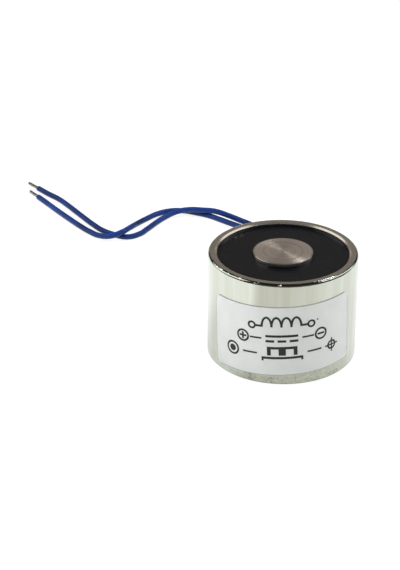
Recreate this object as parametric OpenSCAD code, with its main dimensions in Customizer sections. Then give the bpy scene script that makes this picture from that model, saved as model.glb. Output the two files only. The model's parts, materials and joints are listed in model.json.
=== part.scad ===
// Round holding electromagnet: a steel cup, a turned pole, a potted coil and two loose leads.
// Millimetres. The origin is the centre of the base, and +Z points out of the pole face.

/* [Housing] */
// Outside diameter of the cup
body_d = 30; // [27:0.5:40]
// Height of the cup, from its base to the pole face
body_h = 22; // [19:0.5:30]
// Thickness of the side wall
wall_t = 1.8; // [1.2:0.1:2.2]
// Thickness of the floor
floor_t = 3.5; // [2.5:0.1:4.5]
// Radius of the rounded outer edge of the rim
rim_round = 0.6; // [0.2:0.05:0.8]
// Broken inner edge of the rim
rim_chamfer = 0.3; // [0.1:0.05:0.5]
// Broken outer edge of the base
base_chamfer = 0.3; // [0.1:0.05:0.6]

/* [Core] */
// Width of the ring between the pole and the wall, which the coil and the resin fill
ring_w = 7.2; // [6.7:0.1:8.2]
// Broken edge of the pole face
core_chamfer = 0.2; // [0.1:0.05:0.4]
// Diameter of the spigot that is pressed into the floor
spigot_d = 8; // [7:0.5:9]
// Tapping drill of the mounting thread (3.3 for M4)
thread_drill_d = 3.3; // [2.5:0.1:4.2]
// Full depth of the drilled hole
thread_depth = 9; // [6:0.5:12]
// Point angle of the drill
drill_point = 118; // [90:1:140]
// Mouth diameter of the countersink over the thread
countersink_d = 4.6; // [4.4:0.1:5.4]

/* [Coil] */
// Slip fit of the bobbin on the pole, all round
bobbin_clearance = 0.1; // [0.05:0.05:0.2]
// Wall of the bobbin's tube
bobbin_wall = 0.8; // [0.5:0.1:1]
// Thickness of each flange of the bobbin
flange_t = 0.8; // [0.5:0.1:1.2]
// Gap from the flanges to the cup, which the resin runs through
flange_gap = 0.3; // [0.2:0.05:0.5]
// Width of the wire slot in the flanges
slot_w = 0.7; // [0.5:0.1:1]
// Ring left free outside the winding for the lead joints
joint_room = 2.45; // [2.3:0.05:3]
// Thickness of the wrap over the winding
tape_t = 0.25; // [0.1:0.05:0.4]
// Diameter of the enamelled wire
wire_d = 0.25; // [0.15:0.05:0.4]

/* [Potting] */
// Depth of the resin below the rim
potting_recess = 0.8; // [0.3:0.1:1.5]
// Thickness of the resin over the bobbin
potting_cover = 2.2; // [1:0.1:3]
// Rise of the resin where it wets the wall and the pole
potting_creep = 0.2; // [0.1:0.05:0.25]

/* [Lead exit] */
// Diameter of the lead hole and of the bush in it
bush_d = 4.6; // [4.2:0.1:5]
// Diameter of the bush's flange
bush_flange_d = 6; // [5.4:0.1:6.6]
// How far the flange stands out of the cup
bush_flange_t = 0.7; // [0.4:0.1:1.2]
// Broken edge of the bush's flange
bush_chamfer = 0.2; // [0.1:0.05:0.3]
// Height of the lead hole's centre above the inside of the floor
exit_rise = 3; // [2.8:0.1:4]

/* [Lead joints] */
// Inner bend of a lead behind the bush, to the lead's centre
elbow_r = 1.3; // [1:0.1:1.6]
// Insulated lead beyond the bend
insulation_len = 3; // [2:0.5:4]
// Length of the soldered joint
joint_len = 4; // [3:0.5:5]
// Diameter of the soldered joint
joint_d = 0.9; // [0.6:0.1:1.1]
// Diameter of the sleeve over the joint
sleeve_d = 1.9; // [1.7:0.1:2.1]
// How far the sleeve laps over the insulation
sleeve_lap = 1; // [0.5:0.1:1.5]
// How far the sleeve runs past the joint
sleeve_over = 0.8; // [0.4:0.1:1.5]
// Bare run of each wire tail from the joint to where it turns in
tail_len = 3; // [2:0.5:4]

/* [Label] */
// Length of the label round the cup
label_len = 30.6; // [20:0.2:40]
// Height of the label
label_h = 15; // [8:0.5:15.5]
// Height of the label's lower edge
label_z = 2.2; // [1:0.1:3]
// Thickness of the label
label_t = 0.1; // [0.05:0.05:0.2]
// Corner radius of the label
label_corner = 1.5; // [0.5:0.1:2]

/* [Leads] */
// Diameter over the insulation
lead_d = 1.3; // [1:0.05:1.45]
// Spacing of the two leads in the bush
lead_pitch = 2; // [1.8:0.1:2.4]
// Diameter of the tinned strands
strand_d = 0.8; // [0.5:0.05:0.9]
// Stripped length at the end of each lead
strip_len = 4; // [2:0.5:8]

/* [Lead coil] */
// Radius of the put away coil, between its two strands
coil_r = 7.2; // [6.5:0.1:8]
// Distance of the coil's centre behind the bush
coil_back = 20; // [19:0.5:20.5]
// Turns of each lead in the coil
coil_turns = 2; // [1:1:3]
// Play between neighbouring strands, and between the coil and the leads that run on from it
strand_gap = 0.1; // [0.05:0.05:0.2]
// Thickness of the tie's band
tie_t = 0.5; // [0.3:0.1:0.7]
// Width of the tie's band
tie_w = 2; // [1.5:0.1:3]
// Width of the tie's head
tie_head_w = 3; // [2.5:0.1:4]
// How far the tie's head stands out
tie_head_t = 1.6; // [1:0.1:2.5]

/* [Hidden] */
$fn = 96;
// Overshoot of cutters past the faces that they cut
over = 1;

// Radii of the cup, the pole and the coil between them
body_r = body_d / 2;
cup_r = body_r - wall_t;
core_r = cup_r - ring_w;
bobbin_bore_r = core_r + bobbin_clearance;
tube_r = bobbin_bore_r + bobbin_wall;
tape_r = cup_r - joint_room;
winding_r = tape_r - tape_t;
flange_r = cup_r - flange_gap;

// Heights from the floor upwards
potting_top = body_h - potting_recess;
bobbin_top = potting_top - potting_cover;
winding_bottom = floor_t + flange_t;
winding_top = bobbin_top - flange_t;
exit_z = floor_t + exit_rise;

// The leads run round the winding on a circle half way between the tape and the cup
run_r = (tape_r + cup_r) / 2;
elbow_x = lead_pitch / 2 + elbow_r;
elbow_y = sqrt(pow(run_r + elbow_r, 2) - pow(elbow_x, 2));
elbow_deg = atan2(elbow_y, elbow_x);
joint_end = insulation_len + joint_len;
tail_end = joint_end + tail_len;
tail_deg = elbow_deg - run_deg(tail_end);
slot_z = floor_t + flange_t / 2;
// The start of the winding lies on the bobbin's tube
start_r = tube_r + wire_d;

// Outer face of the bush, where the leads come out
exit_y = body_r + bush_flange_t;

// The put away coil holds two strands side by side, which climb a little more than a diameter each turn
strand_pitch = lead_d + strand_gap;
coil_rise = lead_d * 1.15;
coil_h = lead_d + coil_turns * coil_rise;
coil_in = coil_r - strand_pitch / 2 - lead_d / 2;
coil_out = coil_r + strand_pitch / 2 + lead_d / 2;

// Lead from the bush to the coil: distance behind the bush, and share of the drop to the surface
NEAR_ROUTE = [[0, 0], [2.4, 0], [4.8, 0.07], [7.2, 0.33], [9.4, 0.67], [11.6, 0.95]];

// Leads from the coil to their ends: x, distance behind the bush, and lift off the surface in diameters
FAR_ROUTE_A = [
    [0.7, 29.5, 1.45], [0.5, 32.5, 0.55], [-0.2, 35.5, 0.08], [-1.8, 38.4, 0], [-4.2, 41.3, 0],
    [-7, 43.7, 0.1], [-10, 45.3, 0.55], [-13, 46.3, 1], [-16, 46.8, 1.05], [-19.2, 47.6, 0.85],
    [-22, 47.7, 0.4], [-24.6, 45.7, 0.1], [-26.6, 43, 0], [-28.6, 39.5, 0], [-30.6, 36.5, 0],
    [-33.2, 35.1, 0], [-36.2, 36.3, 0], [-39, 38.5, 0], [-41.4, 41.7, 0], [-43.6, 45.2, 0],
    [-45.8, 48.8, 0], [-48, 52.4, 0], [-50.4, 56, 0], [-53.1, 59, 0], [-55.8, 62.3, 0]
];
FAR_ROUTE_B = [
    [-0.7, 27.8, 1.6], [-0.9, 31, 0.6], [-1.6, 34, 0.08], [-3, 36.7, 0], [-5.5, 39.2, 0],
    [-8.4, 41.5, 0], [-11.4, 44.1, 0], [-14.4, 46.6, 0], [-17.4, 48.2, 0], [-20.6, 49.4, 0],
    [-23.8, 49.2, 0], [-26.6, 47.6, 0], [-29, 45, 0], [-31.1, 41.8, 0.2], [-32.8, 37.7, 0.8],
    [-34.4, 34.8, 1.05], [-36.8, 34, 0.6], [-39.6, 35.5, 0.1], [-42.2, 38.1, 0], [-44.4, 40.9, 0],
    [-46.6, 44, 0], [-48.8, 47.2, 0], [-51, 50.5, 0], [-53.2, 53.9, 0], [-55.4, 57.2, 0]
];
// Corners of a lead's section, and steps of its bend behind the bush
LEAD_SIDES = 8;
ELBOW_STEPS = 3;
// Straight stretch that squares a lead's cut end to the joint, and the hair gap between them
butt_len = 0.2;
butt_gap = 0.02;

// Angle of an arc length on the circle that the leads run on
function run_deg(len_mm) = len_mm / run_r * 180 / PI;

// Angle of an arc length on the outside of the cup
function cup_deg(len_mm) = len_mm / body_r * 180 / PI;

// Half the length that a strand's edge lies within the coil's outer circle, on a line tangent to the strand
function coil_reach(side) =
    sqrt(pow(coil_out, 2) - pow(coil_r - side * strand_pitch / 2 - lead_d / 2, 2)) + strand_gap / 2;

// Centre lines of the free stretches, in the part's frame; side is 1 for lead A and -1 for lead B
function near_point(side, back, drop) = [
    side * (lead_pitch * (1 - drop) + strand_pitch * drop) / 2,
    exit_y + back,
    exit_z + (lead_d / 2 - exit_z) * drop
];
function run_point(side, len_mm) = [
    side * run_r * cos(elbow_deg - run_deg(len_mm)),
    run_r * sin(elbow_deg - run_deg(len_mm)),
    exit_z
];
function elbow_point(side, deg) = [
    side * (elbow_x - elbow_r * cos(deg)),
    elbow_y - elbow_r * sin(deg),
    exit_z
];
function near_line(side) = [
    for (len_mm = [insulation_len, insulation_len - butt_len, insulation_len / 2]) run_point(side, len_mm),
    for (share = [1:-1 / ELBOW_STEPS:0]) elbow_point(side, elbow_deg * share),
    for (p = NEAR_ROUTE) near_point(side, p[0], p[1]),
    near_point(side, coil_back - coil_reach(side), 1)
];
function far_point(p) = [p[0], exit_y + p[1], lead_d * (0.5 + p[2])];
function far_line(side, route) = [
    [side * strand_pitch / 2, exit_y + coil_back + coil_reach(side), coil_h - lead_d / 2],
    for (p = route) far_point(p)
];

// Ring of corners square to the centre line at point i
function line_dir(line, i) = line[min(i + 1, len(line) - 1)] - line[max(i - 1, 0)];
function ring(line, i) =
    let (
        along = line_dir(line, i) / norm(line_dir(line, i)),
        flat = cross(along, [0, 0, 1]),
        across = flat / norm(flat),
        up = cross(across, along)
    )
    [for (k = [0:LEAD_SIDES - 1])
        line[i] + lead_d / 2 * (cos(360 * k / LEAD_SIDES) * across + sin(360 * k / LEAD_SIDES) * up)];

// Round tube along a centre line
module tube(line) {
    last = len(line) - 1;
    n = LEAD_SIDES;
    corners = [for (i = [0:last]) each ring(line, i)];
    walls = [
        for (i = [0:last - 1], k = [0:n - 1])
            each [
                [i * n + k, i * n + (k + 1) % n, (i + 1) * n + k],
                [i * n + (k + 1) % n, (i + 1) * n + (k + 1) % n, (i + 1) * n + k]
            ]
    ];
    caps = [[for (k = [n - 1:-1:0]) k], [for (k = [0:n - 1]) last * n + k]];
    polyhedron(corners, concat(walls, caps));
}

// Piece of round wire on the run circle, between two arc lengths past the bend
module run_arc(d, from_mm, to_mm) {
    translate([0, 0, exit_z])
        rotate([0, 0, elbow_deg - run_deg(to_mm)])
            rotate_extrude(angle = run_deg(to_mm - from_mm))
                translate([run_r, 0])
                    circle(d = d, $fn = 32);
}

// Outside of the sleeve over a joint, on side A
module sleeve_blank() {
    run_arc(sleeve_d, insulation_len - sleeve_lap, joint_end + sleeve_over);
}

// Soldered joint on side A
module joint() {
    run_arc(joint_d, insulation_len + butt_gap, joint_end);
}

// Radial piece of wire at the end of a tail, at height z
module radial_wire(from_r, z) {
    rotate([0, 0, tail_deg])
        translate([from_r, 0, z])
            rotate([0, 90, 0])
                cylinder(d = wire_d, h = run_r + wire_d / 2 - from_r, $fn = 24);
}

// Upright piece of wire at the end of a tail
module upright_wire(r, from_z, to_z) {
    rotate([0, 0, tail_deg])
        translate([r, 0, from_z])
            cylinder(d = wire_d, h = to_z - from_z, $fn = 24);
}

// What is drawn for side A, put on either side
module on_side(side) {
    if (side > 0)
        children();
    else
        mirror([1, 0, 0])
            children();
}

// Sleeve over a joint, moulded to what it holds
module sleeve(side) {
    difference() {
        on_side(side)
            sleeve_blank();
        tube(near_line(side));
        on_side(side)
            run_arc(joint_d, insulation_len, joint_end);
        on_side(side)
            run_arc(wire_d, joint_end, tail_end);
    }
}

// Lead hole through the wall, from radius from_r out to y
module exit_bore(d, from_r, to_y) {
    translate([0, from_r, exit_z])
        rotate([-90, 0, 0])
            cylinder(d = d, h = to_y - from_r);
}

// Rectangle with round corners, from the origin
module round_rect(w, h, r) {
    translate([r, 0])
        square([w - 2 * r, h]);
    translate([0, r])
        square([w, h - 2 * r]);
    for (x = [r, w - r], y = [r, h - r])
        translate([x, y])
            circle(r, $fn = 32);
}

// Tie's band as a ring sector round the coil's section, grown by t
module tie_sector(t, deg) {
    rotate([0, 0, -deg / 2])
        rotate_extrude(angle = deg)
            translate([coil_in - t, tie_t - t])
                square([coil_out - coil_in + 2 * t, coil_h - 2 * tie_t + 2 * t]);
}

module at_coil() {
    translate([coil_r, exit_y + coil_back, 0])
        children();
}

module tie_band() {
    difference() {
        tie_sector(tie_t, tie_w / coil_r * 180 / PI);
        tie_sector(0, tie_w / coil_r * 180 / PI + over);
    }
}

// Straight round pin that runs on from the end of a lead
module end_pin(line) {
    last = len(line) - 1;
    dir = line[last] - line[last - 1];
    translate(line[last])
        rotate([0, 90, atan2(dir[1], dir[0])])
            cylinder(d = strand_d, h = strip_len, $fn = 24);
}

module housing() {
    color("silver")
        difference() {
            rotate_extrude()
                difference() {
                    polygon([
                        [spigot_d / 2, 0], [body_r - base_chamfer, 0], [body_r, base_chamfer], [body_r, body_h],
                        [cup_r + rim_chamfer, body_h], [cup_r, body_h - rim_chamfer], [cup_r, floor_t],
                        [spigot_d / 2, floor_t]
                    ]);
                    translate([body_r - rim_round, body_h - rim_round])
                        difference() {
                            square(rim_round + over);
                            circle(rim_round);
                        }
                }
            exit_bore(bush_d, cup_r - over, body_r + over);
        }
}

module core() {
    color("gray")
        difference() {
            rotate_extrude()
                polygon([
                    [0, 0], [spigot_d / 2, 0], [spigot_d / 2, floor_t], [core_r, floor_t],
                    [core_r, body_h - core_chamfer], [core_r - core_chamfer, body_h], [0, body_h]
                ]);
            rotate_extrude()
                polygon([
                    [0, 0], [countersink_d / 2, 0], [thread_drill_d / 2, (countersink_d - thread_drill_d) / 2],
                    [thread_drill_d / 2, thread_depth],
                    [0, thread_depth + thread_drill_d / 2 / tan(drill_point / 2)]
                ]);
        }
}

module bobbin() {
    color("ivory")
        difference() {
            rotate_extrude()
                polygon([
                    [bobbin_bore_r, floor_t], [flange_r, floor_t], [flange_r, winding_bottom],
                    [tube_r, winding_bottom], [tube_r, winding_top], [flange_r, winding_top],
                    [flange_r, bobbin_top], [bobbin_bore_r, bobbin_top]
                ]);
            rotate([0, 0, tail_deg])
                translate([tube_r, -slot_w / 2, floor_t - over])
                    cube([flange_r, slot_w, bobbin_top - floor_t + 2 * over]);
        }
}

module winding() {
    color("peru")
        rotate_extrude()
            translate([tube_r, winding_bottom])
                square([winding_r - tube_r, winding_top - winding_bottom]);
}

module winding_tape() {
    color("gold")
        difference() {
            rotate_extrude()
                translate([winding_r, winding_bottom])
                    square([tape_t, winding_top - winding_bottom]);
            on_side(-1)
                radial_wire(winding_r - over, exit_z);
        }
}

// From the joint down to the slot, in along the slot and up into the first layer
module start_wire() {
    run_arc(wire_d, joint_end, tail_end);
    upright_wire(run_r, slot_z - wire_d / 2, exit_z + wire_d / 2);
    radial_wire(start_r, slot_z);
    upright_wire(start_r, slot_z, winding_bottom);
}

module start_tail() {
    color("chocolate")
        start_wire();
}

// From the joint in through the tape to the last layer
module finish_wire() {
    on_side(-1)
        difference() {
            union() {
                run_arc(wire_d, joint_end, tail_end);
                radial_wire(winding_r - over, exit_z);
            }
            cylinder(r = winding_r, h = body_h);
        }
}

module finish_tail() {
    color("chocolate")
        finish_wire();
}

module start_joint() {
    color("lightgray")
        joint();
}

module finish_joint() {
    color("lightgray")
        on_side(-1)
            joint();
}

module start_sleeve() {
    color("dimgray")
        sleeve(1);
}

module finish_sleeve() {
    color("dimgray")
        sleeve(-1);
}

module potting() {
    color("#26262a")
        difference() {
            rotate_extrude()
                polygon([
                    [core_r, bobbin_top], [flange_r, bobbin_top], [flange_r, winding_top],
                    [tape_r, winding_top], [tape_r, winding_bottom], [flange_r, winding_bottom],
                    [flange_r, floor_t], [cup_r, floor_t], [cup_r, potting_top + potting_creep],
                    [cup_r - potting_creep, potting_top], [core_r + potting_creep, potting_top],
                    [core_r, potting_top + potting_creep]
                ]);
            tube(near_line(1));
            tube(near_line(-1));
            sleeve_blank();
            on_side(-1)
                sleeve_blank();
            start_wire();
            finish_wire();
        }
}

module lead_grommet() {
    color("#303030")
        difference() {
            union() {
                difference() {
                    exit_bore(bush_d, cup_r - over, exit_y - bush_chamfer);
                    cylinder(r = cup_r, h = body_h);
                }
                difference() {
                    union() {
                        exit_bore(bush_flange_d, body_r - over, exit_y - bush_chamfer);
                        translate([0, exit_y - bush_chamfer, exit_z])
                            rotate([-90, 0, 0])
                                cylinder(
                                    h = bush_chamfer, d1 = bush_flange_d, d2 = bush_flange_d - 2 * bush_chamfer
                                );
                    }
                    cylinder(r = body_r, h = body_h);
                }
            }
            for (side = [-1, 1])
                translate([side * lead_pitch / 2, 0, 0])
                    exit_bore(lead_d, cup_r - over, exit_y + over);
        }
}

// What the cutter takes off the label's corner on the +Y side at height z, where up points into the label.
// Its arc is a little flatter than the corner, so that it crosses both edges.
module label_waste(span, z, up) {
    knife_r = 1.25 * label_corner;
    knife_in = (label_corner + sqrt(2 * knife_r * knife_r - label_corner * label_corner)) / 2;
    rotate([0, 0, span / 2 - cup_deg(label_corner)])
        translate([body_r, label_corner - knife_in, z])
            difference() {
                translate([-over, 0, up > 0 ? -over : -knife_in])
                    cube([2 * over, knife_in + over, knife_in + over]);
                translate([0, 0, up * knife_in])
                    rotate([0, 90, 0])
                        cylinder(r = knife_r, h = 4 * over, center = true);
            }
}

module label() {
    span = cup_deg(label_len);
    color("whitesmoke")
        rotate([0, 0, 270])
            difference() {
                rotate([0, 0, -span / 2])
                    rotate_extrude(angle = span)
                        translate([body_r, label_z])
                            square([label_t, label_h]);
                label_waste(span, label_z, 1);
                label_waste(span, label_z + label_h, -1);
                mirror([0, 1, 0])
                    label_waste(span, label_z, 1);
                mirror([0, 1, 0])
                    label_waste(span, label_z + label_h, -1);
            }
}

module lead_a_near() {
    color("royalblue")
        tube(near_line(1));
}

module lead_b_near() {
    color("royalblue")
        tube(near_line(-1));
}

module lead_coil() {
    color("royalblue")
        at_coil()
            difference() {
                rotate_extrude()
                    translate([coil_in, 0])
                        round_rect(coil_out - coil_in, coil_h, lead_d / 2);
                tie_band();
            }
}

module coil_tie() {
    color("black")
        at_coil() {
            tie_band();
            translate([coil_out + tie_t / 2, -tie_head_w / 2, (coil_h - tie_head_w) / 2])
                cube([tie_t / 2 + tie_head_t, tie_head_w, tie_head_w]);
        }
}

module lead_a_far() {
    color("royalblue")
        tube(far_line(1, FAR_ROUTE_A));
}

module lead_b_far() {
    color("royalblue")
        tube(far_line(-1, FAR_ROUTE_B));
}

module tinned_end_a() {
    color("lightgray")
        end_pin(far_line(1, FAR_ROUTE_A));
}

module tinned_end_b() {
    color("lightgray")
        end_pin(far_line(-1, FAR_ROUTE_B));
}

housing();
core();
bobbin();
winding();
winding_tape();
start_tail();
finish_tail();
start_joint();
finish_joint();
start_sleeve();
finish_sleeve();
potting();
lead_grommet();
label();
lead_a_near();
lead_b_near();
lead_coil();
coil_tie();
lead_a_far();
lead_b_far();
tinned_end_a();
tinned_end_b();
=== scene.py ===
# %% [markdown]
# # A holding electromagnet, dressed for the studio
# The part is a turned steel cup with a wound coil potted round a steel pole, a sticker on its side and two
# thin leads. Its solids come ready made, in metres, with the base's middle at the origin. This lesson gives
# each of them its finish, and models again what is too fine for the solids: the leads with their ends and
# their tie, the thread in the pole, the bush, and the label with its print.

# %% Load the solids
import json
import math

import bpy
from mathutils import Matrix, Vector

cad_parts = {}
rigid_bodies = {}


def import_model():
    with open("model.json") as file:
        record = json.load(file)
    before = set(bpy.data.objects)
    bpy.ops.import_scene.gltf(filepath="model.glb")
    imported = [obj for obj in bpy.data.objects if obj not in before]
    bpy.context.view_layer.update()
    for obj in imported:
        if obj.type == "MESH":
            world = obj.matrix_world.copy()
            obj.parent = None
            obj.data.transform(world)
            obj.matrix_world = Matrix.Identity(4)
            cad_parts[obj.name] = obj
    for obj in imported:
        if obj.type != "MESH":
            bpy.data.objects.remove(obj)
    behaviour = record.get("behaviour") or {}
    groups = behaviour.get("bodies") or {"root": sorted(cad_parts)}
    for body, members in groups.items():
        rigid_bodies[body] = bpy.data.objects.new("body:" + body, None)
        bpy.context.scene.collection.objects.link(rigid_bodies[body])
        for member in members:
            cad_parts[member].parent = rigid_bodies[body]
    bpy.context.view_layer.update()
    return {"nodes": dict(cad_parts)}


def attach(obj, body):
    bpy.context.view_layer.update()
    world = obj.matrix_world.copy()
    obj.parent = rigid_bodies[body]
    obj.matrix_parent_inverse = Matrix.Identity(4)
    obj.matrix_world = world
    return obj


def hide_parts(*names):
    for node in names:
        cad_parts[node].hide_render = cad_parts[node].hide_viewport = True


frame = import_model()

MM = 0.001
print("solids:", ", ".join(sorted(frame["nodes"])))

# %% [markdown]
# ## The camera
# A product photo like this is taken from a little above, with a long lens, so that the cup's sides stay
# nearly upright. A camera could be aimed with a constraint, but a plain place and tilt are easier to read,
# and nothing has to be undone when the view is changed later.

# %% Camera
# The place is in metres
CAMERA_PLACE = (-0.016516, -0.314928, 0.176577)
CAMERA_TILT = math.radians(62.75)
SENSOR_W, LENS = 36, 111.54
NEAREST = 10 * MM
bpy.ops.object.camera_add(location=CAMERA_PLACE, rotation=(CAMERA_TILT, 0, 0))
camera = bpy.context.object
camera.name = "photo_camera"
camera.data.sensor_width = SENSOR_W
camera.data.lens = LENS
camera.data.clip_start = NEAREST
bpy.context.scene.camera = camera
print("camera", LENS, "mm lens")

# %% [markdown]
# ## The two leads
# Each lead is one piece of stranded wire in blue PVC, 1.3 mm thick. It leaves the bush at the back of the
# cup, comes down to the table, is wound twice into a small tied coil, and then lies loose, crossing its
# twin twice. A simulated rope would settle anywhere, so the line is drawn: a Bezier curve through chosen
# points, whose round bevel is the insulation. The coil's points follow a rule, so a loop works them out.

# %% Lead routes
LEAD_D = 1.3
EXIT_Y, EXIT_Z = 15.7, 6.5
LEAD_PITCH, STRAND_GAP = 2.0, 0.1
STRAND_PITCH = LEAD_D + STRAND_GAP
COIL_R, COIL_BACK = 7.2, 20
COIL_MIDDLE = (COIL_R, EXIT_Y + COIL_BACK)
COIL_IN = COIL_R - STRAND_PITCH / 2 - LEAD_D / 2
COIL_OUT = COIL_R + STRAND_PITCH / 2 + LEAD_D / 2
COIL_TURNS, COIL_RISE = 2, 1.15 * LEAD_D
COIL_H = LEAD_D + COIL_TURNS * COIL_RISE
POINTS_PER_TURN = 16
# Just enough that the smooth curve doesn't dip below the floor before the coil rises
LANDING_LIFT = 0.1

# Distance behind the bush and share of the way down to the table
NEAR_ROUTE = [[0, 0], [2.4, 0], [4.8, 0.07], [7.2, 0.33], [9.4, 0.67], [11.6, 0.95]]
# Across, distance behind the bush, and height over the table in lead thicknesses
FAR_ROUTES = {
    1: [
        [0.7, 29.5, 1.45], [0.5, 32.5, 0.55], [-0.2, 35.5, 0.08], [-1.8, 38.4, 0], [-4.2, 41.3, 0],
        [-7, 43.7, 0.1], [-10, 45.3, 0.55], [-13, 46.3, 1], [-16, 46.8, 1.05], [-19.2, 47.6, 0.85],
        [-22, 47.7, 0.4], [-24.6, 45.7, 0.1], [-26.6, 43, 0], [-28.6, 39.5, 0], [-30.6, 36.5, 0],
        [-33.2, 35.1, 0], [-36.2, 36.3, 0], [-39, 38.5, 0], [-41.4, 41.7, 0], [-43.6, 45.2, 0],
        [-45.8, 48.8, 0], [-48, 52.4, 0], [-50.4, 56, 0], [-53.1, 59, 0], [-55.8, 62.3, 0],
    ],
    -1: [
        [-0.7, 27.8, 1.6], [-0.9, 31, 0.6], [-1.6, 34, 0.08], [-3, 36.7, 0], [-5.5, 39.2, 0],
        [-8.4, 41.5, 0], [-11.4, 44.1, 0], [-14.4, 46.6, 0], [-17.4, 48.2, 0], [-20.6, 49.4, 0],
        [-23.8, 49.2, 0], [-26.6, 47.6, 0], [-29, 45, 0], [-31.1, 41.8, 0.2], [-32.8, 37.7, 0.8],
        [-34.4, 34.8, 1.05], [-36.8, 34, 0.6], [-39.6, 35.5, 0.1], [-42.2, 38.1, 0], [-44.4, 40.9, 0],
        [-46.6, 44, 0], [-48.8, 47.2, 0], [-51, 50.5, 0], [-53.2, 53.9, 0], [-55.4, 57.2, 0],
    ],
}


def coil_reach(side):
    """How far before and behind the coil's middle a lead meets the outside of the coil."""
    return math.sqrt(COIL_OUT ** 2 - (COIL_R - side * STRAND_PITCH / 2 - LEAD_D / 2) ** 2) + STRAND_GAP / 2


def lead_line(side):
    """The middle line of one lead, from its bush to its stripped end, in millimetres."""
    line = []
    for back, drop in NEAR_ROUTE:
        across = side * (LEAD_PITCH * (1 - drop) + STRAND_PITCH * drop) / 2
        line.append((across, EXIT_Y + back, EXIT_Z + (LEAD_D / 2 - EXIT_Z) * drop))
    line.append((side * STRAND_PITCH / 2, COIL_MIDDLE[1] - coil_reach(side), LEAD_D / 2 + LANDING_LIFT))
    turn_r = COIL_MIDDLE[0] - side * STRAND_PITCH / 2
    for step in range(COIL_TURNS * POINTS_PER_TURN + 1):
        turned = step / POINTS_PER_TURN
        around = math.pi - turned * math.tau
        line.append((
            COIL_MIDDLE[0] + turn_r * math.cos(around),
            COIL_MIDDLE[1] + turn_r * math.sin(around),
            LEAD_D / 2 + turned * COIL_RISE,
        ))
    line.append((side * STRAND_PITCH / 2, COIL_MIDDLE[1] + coil_reach(side), COIL_H - LEAD_D / 2))
    for across, back, lift in FAR_ROUTES[side]:
        line.append((across, EXIT_Y + back, LEAD_D * (0.5 + lift)))
    return line


def line_length(line):
    """The length of a line from point to point, in millimetres."""
    return sum((Vector(b) - Vector(a)).length for a, b in zip(line, line[1:]))


lead_lines = {"a": lead_line(1), "b": lead_line(-1)}
for letter, line in lead_lines.items():
    print("lead", letter, "points", len(line), "length", round(line_length(line), 1), "mm")

# %% Leads
CURVE_STEPS, ROUND_STEPS = 6, 4


def lead_curve(name, line):
    """A round tube along a smooth curve through the given points."""
    curve = bpy.data.curves.new(name, "CURVE")
    curve.dimensions = "3D"
    spline = curve.splines.new("BEZIER")
    spline.bezier_points.add(len(line) - 1)
    for knot, point in zip(spline.bezier_points, line):
        knot.co = Vector(point) * MM
        knot.handle_left_type = knot.handle_right_type = "AUTO"
        knot.radius = LEAD_D / 2 * MM
    spline.resolution_u = CURVE_STEPS
    # The bevel is scaled by each knot's radius, which is also what the curve's box is measured by
    curve.bevel_depth = 1
    curve.bevel_resolution = ROUND_STEPS
    curve.use_fill_caps = True
    lead = bpy.data.objects.new(name, curve)
    bpy.context.scene.collection.objects.link(lead)
    return lead


leads = {letter: lead_curve("lead_" + letter, line) for letter, line in lead_lines.items()}
for lead in leads.values():
    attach(lead, "root")
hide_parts("lead_a_near", "lead_a_far", "lead_coil")
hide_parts("lead_b_near", "lead_b_far")
print("made", ", ".join(lead.name for lead in leads.values()))

# %% [markdown]
# ## Helpers for every piece
# A finish is a small tree of nodes, so one function adds a node with its settings and links. Colours are
# written as they are read off a screen and turned into linear light once. Most operators work on whatever
# is selected, so one function leaves a single piece selected. Others start a piece from a primitive, and
# close a mesh and turn its faces outwards.

# %% Helpers


def linear(hex_code):
    """A screen colour such as 8899AA as linear red, green, blue and an alpha of 1."""
    parts = [int(hex_code[i:i + 2], 16) / 255 for i in (0, 2, 4)]
    return [p / 12.92 if p <= 0.04045 else ((p + 0.055) / 1.055) ** 2.4 for p in parts] + [1]


def add_node(tree, kind, inputs=None, ramp=None, **settings):
    """Adds one node; an input takes a value, an output, or a node, which gives its first live output."""
    made = tree.nodes.new("ShaderNode" + kind)
    for name, value in settings.items():
        setattr(made, name, value)
    for key, value in (inputs or {}).items():
        if isinstance(value, bpy.types.Node):
            value = next(output for output in value.outputs if output.enabled)
        if isinstance(value, bpy.types.NodeSocket):
            tree.links.new(value, made.inputs[key])
        else:
            made.inputs[key].default_value = value
    if ramp:
        stops = made.color_ramp.elements
        while len(stops) < len(ramp):
            stops.new(0.5)
        for stop, (position, shade) in zip(stops, ramp):
            stop.position = position
            stop.color = linear(shade)
    return made


def new_finish(name):
    """An empty material, its tree and the place on the piece, as Object coordinates."""
    material = bpy.data.materials.new(name)
    material.use_nodes = True
    tree = material.node_tree
    tree.nodes.clear()
    return material, tree, add_node(tree, "TexCoord").outputs["Object"]


def dress(finish, *pieces):
    """Gives a finish to new pieces, and to ready solids, which go by name."""
    for piece in pieces:
        finishes = (frame["nodes"][piece] if isinstance(piece, str) else piece).data.materials
        finishes.clear()
        finishes.append(finish)


def only(piece):
    """Leaves one piece selected and active."""
    bpy.ops.object.select_all(action="DESELECT")
    piece.select_set(True)
    bpy.context.view_layer.objects.active = piece


def start_piece(name, add, location=(0, 0, 0), **shape):
    """Adds a primitive with nothing else selected, and names it and its mesh."""
    bpy.ops.object.select_all(action="DESELECT")
    add(location=location, **shape)
    piece = bpy.context.object
    piece.name = piece.data.name = name
    return piece


def close_mesh(smooth_angle, merge=0):
    """In edit mode: merges doubles, fills open ends, turns faces outwards, and leaves the piece smooth."""
    bpy.ops.mesh.select_all(action="SELECT")
    if merge:
        bpy.ops.mesh.remove_doubles(threshold=merge * MM)
    bpy.ops.mesh.fill_holes(sides=0)
    bpy.ops.mesh.select_all(action="SELECT")
    bpy.ops.mesh.normals_make_consistent(inside=False)
    bpy.ops.object.mode_set(mode="OBJECT")
    bpy.ops.object.shade_smooth_by_angle(angle=math.radians(smooth_angle))


print("helpers ready")

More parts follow.
